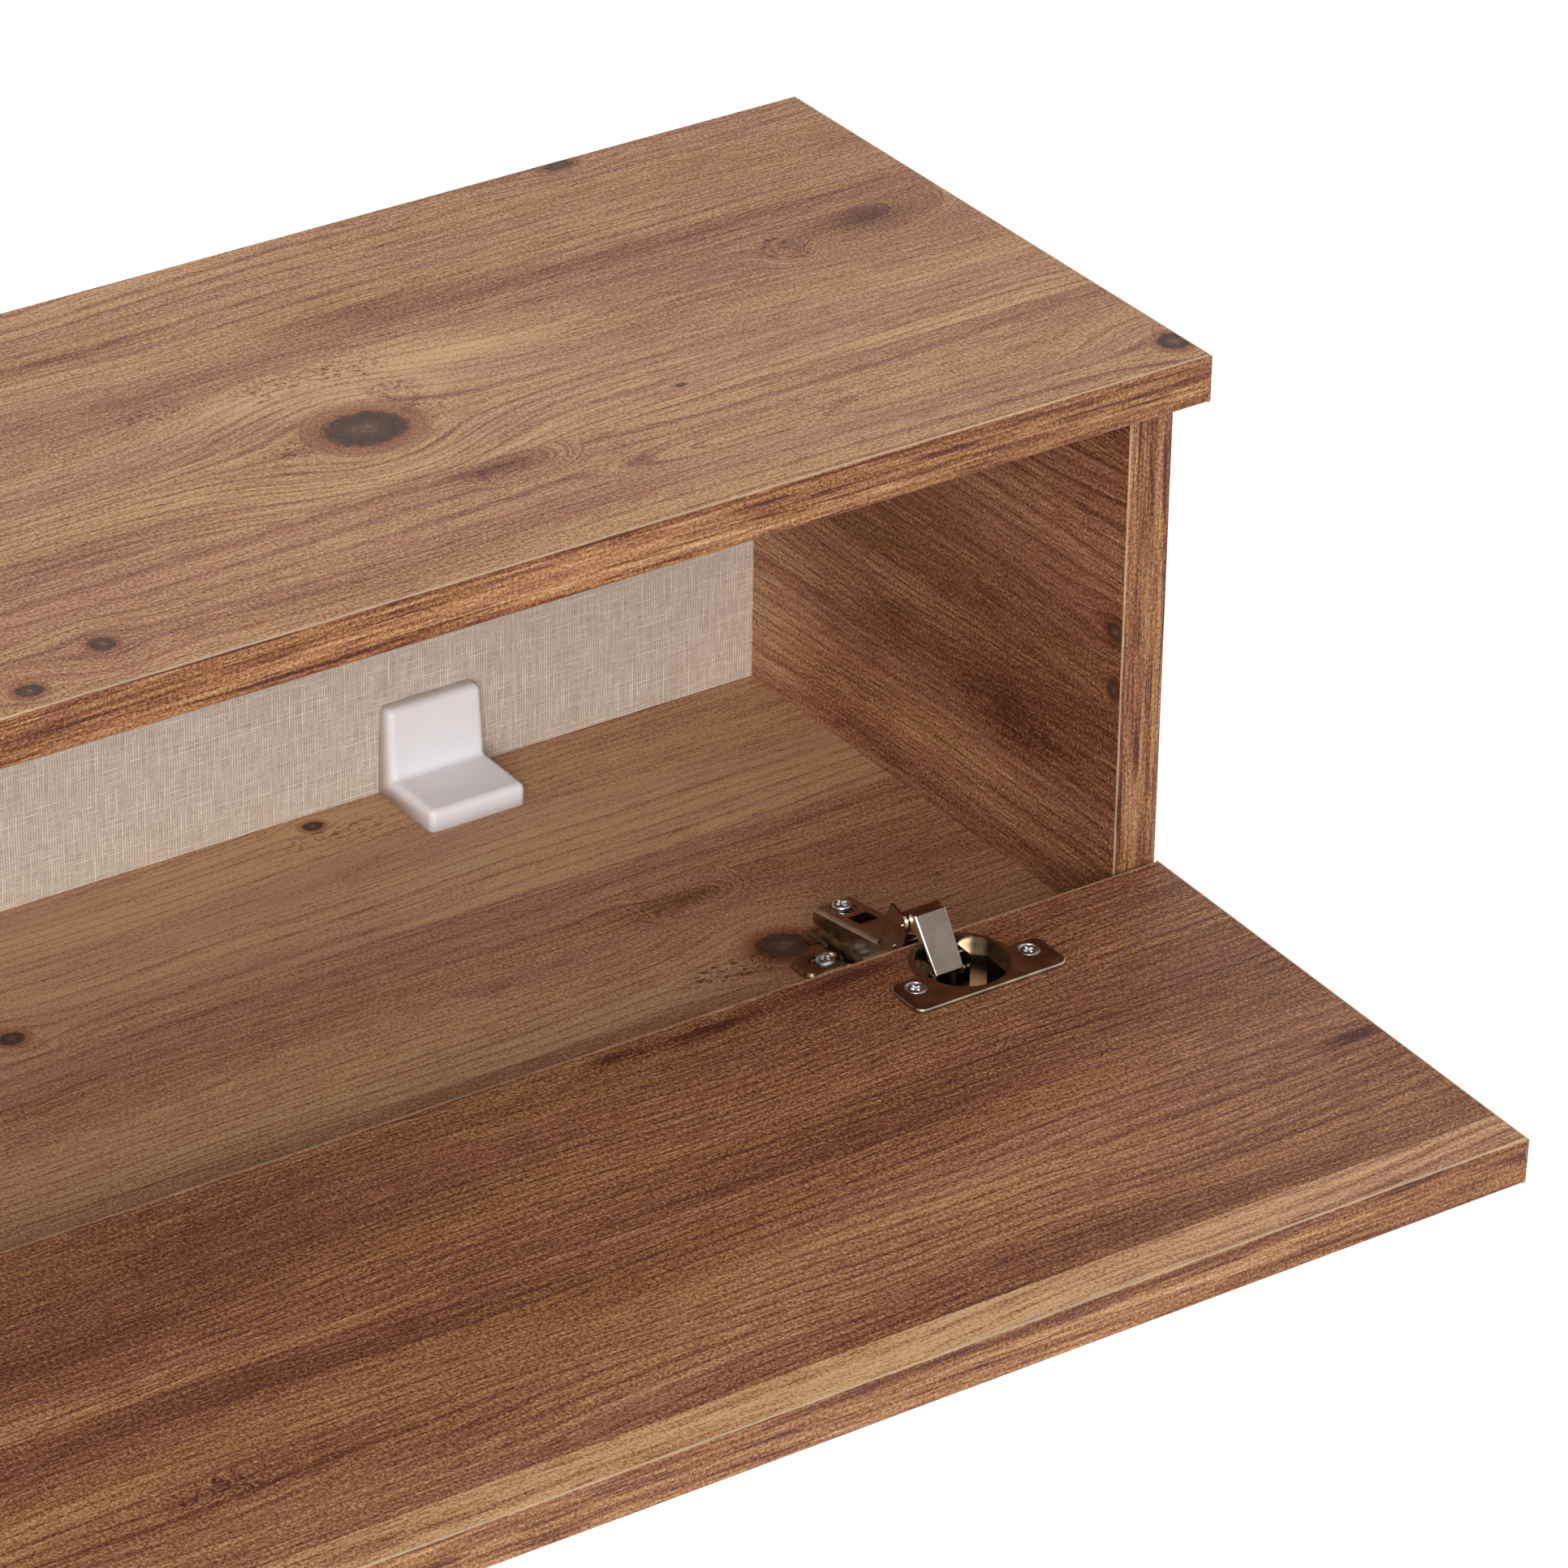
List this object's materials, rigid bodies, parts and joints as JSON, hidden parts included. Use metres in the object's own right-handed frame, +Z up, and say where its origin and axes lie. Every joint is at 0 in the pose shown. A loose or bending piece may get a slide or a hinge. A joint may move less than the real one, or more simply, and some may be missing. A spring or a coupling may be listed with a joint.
{
  "type": "floating media console",
  "caption": "Wall-hung media console of wood-grain boards with a linen-print back and drop-down flaps on inset cup hinges, open.",
  "frame": {"origin": "middle of the four wall fixing holes, on the wall plane behind the back panel", "axes": "+X along the console to its right end, +Y into the wall, +Z up; the flaps face -Y"},
  "size_m": [1.4, 0.4414, 0.25],
  "materials": {
    "wood_board": "embossed rustic wood-grain melamine on particle board",
    "edge_band": "wood-grain edge banding, satin",
    "linen_back": "linen-weave printed hardboard",
    "zinc_steel": "zinc-plated",
    "screw_steel": "bright zinc-plated",
    "white_plastic": "satin moulded plastic",
    "beech": "bare beech",
    "nickel_steel": "nickel-plated pressed steel"
  },
  "bodies": {
    "root": {"arm_screws": "screw_steel", "back_nails": "zinc_steel", "bottom_end_bands": "edge_band", "bottom_front_band": "edge_band", "bottom_panel": "wood_board", "bracket_screws": "zinc_steel", "cam_bolts": "zinc_steel", "cam_discs": "zinc_steel", "centre_divider": "wood_board", "confirmat_screws": "zinc_steel", "divider_band": "edge_band", "dowels": "beech", "left_back_panel": "linen_back", "left_inner_hinge_arm": "nickel_steel", "left_inner_mounting_plate": "nickel_steel", "left_lower_bracket": "white_plastic", "left_lower_bracket_cover": "white_plastic", "left_outer_hinge_arm": "nickel_steel", "left_outer_mounting_plate": "nickel_steel", "left_side_band": "edge_band", "left_side_panel": "wood_board", "left_upper_bracket": "white_plastic", "left_upper_bracket_cover": "white_plastic", "plate_screws": "screw_steel", "right_back_panel": "linen_back", "right_inner_hinge_arm": "nickel_steel", "right_inner_mounting_plate": "nickel_steel", "right_lower_bracket": "white_plastic", "right_lower_bracket_cover": "white_plastic", "right_outer_hinge_arm": "nickel_steel", "right_outer_mounting_plate": "nickel_steel", "right_side_band": "edge_band", "right_side_panel": "wood_board", "right_upper_bracket": "white_plastic", "right_upper_bracket_cover": "white_plastic", "top_end_bands": "edge_band", "top_front_band": "edge_band", "top_panel": "wood_board"},
    "left_carrier_links": {"left_inner_carrier_link": "nickel_steel", "left_outer_carrier_link": "nickel_steel"},
    "left_flap": {"left_cup_screws": "screw_steel", "left_flap_end_bands": "edge_band", "left_flap_lower_band": "edge_band", "left_flap_panel": "wood_board", "left_flap_upper_band": "edge_band", "left_inner_hinge_cup": "nickel_steel", "left_outer_hinge_cup": "nickel_steel"},
    "left_cover_links": {"left_inner_cover_link": "nickel_steel", "left_outer_cover_link": "nickel_steel"},
    "right_carrier_links": {"right_inner_carrier_link": "nickel_steel", "right_outer_carrier_link": "nickel_steel"},
    "right_flap": {"right_cup_screws": "screw_steel", "right_flap_end_bands": "edge_band", "right_flap_lower_band": "edge_band", "right_flap_panel": "wood_board", "right_flap_upper_band": "edge_band", "right_inner_hinge_cup": "nickel_steel", "right_outer_hinge_cup": "nickel_steel"},
    "right_cover_links": {"right_inner_cover_link": "nickel_steel", "right_outer_cover_link": "nickel_steel"}
  },
  "joints": [
    {"name": "left_carrier_turn", "type": "hinge", "parent": "root", "child": "left_carrier_links", "pos_m": [-0.35, -0.22265, -0.08729], "axis": [1, 0, 0], "range_deg": [0, 36.31]},
    {"name": "left_flap_turn", "type": "hinge", "parent": "left_carrier_links", "child": "left_flap", "pos_m": [-0.35, -0.23924, -0.08666], "axis": [-1, 0, 0], "range_deg": [0, 128.3]},
    {"name": "left_cover_turn", "type": "hinge", "parent": "root", "child": "left_cover_links", "pos_m": [-0.35, -0.22709, -0.07692], "axis": [1, 0, 0], "range_deg": [0, 7.96]},
    {"name": "right_carrier_turn", "type": "hinge", "parent": "root", "child": "right_carrier_links", "pos_m": [0.35, -0.22265, -0.08729], "axis": [1, 0, 0], "range_deg": [0, 36.31]},
    {"name": "right_flap_turn", "type": "hinge", "parent": "right_carrier_links", "child": "right_flap", "pos_m": [0.35, -0.23924, -0.08666], "axis": [-1, 0, 0], "range_deg": [0, 128.3]},
    {"name": "right_cover_turn", "type": "hinge", "parent": "root", "child": "right_cover_links", "pos_m": [0.35, -0.22709, -0.07692], "axis": [1, 0, 0], "range_deg": [0, 7.96]}
  ],
  "couplings": [
    {"joint": "left_carrier_turn", "follows": "left_flap_turn", "ratio": 0.28294},
    {"joint": "left_cover_turn", "follows": "left_flap_turn", "ratio": 0.061928},
    {"joint": "right_carrier_turn", "follows": "right_flap_turn", "ratio": 0.28294},
    {"joint": "right_cover_turn", "follows": "right_flap_turn", "ratio": 0.061928}
  ]
}
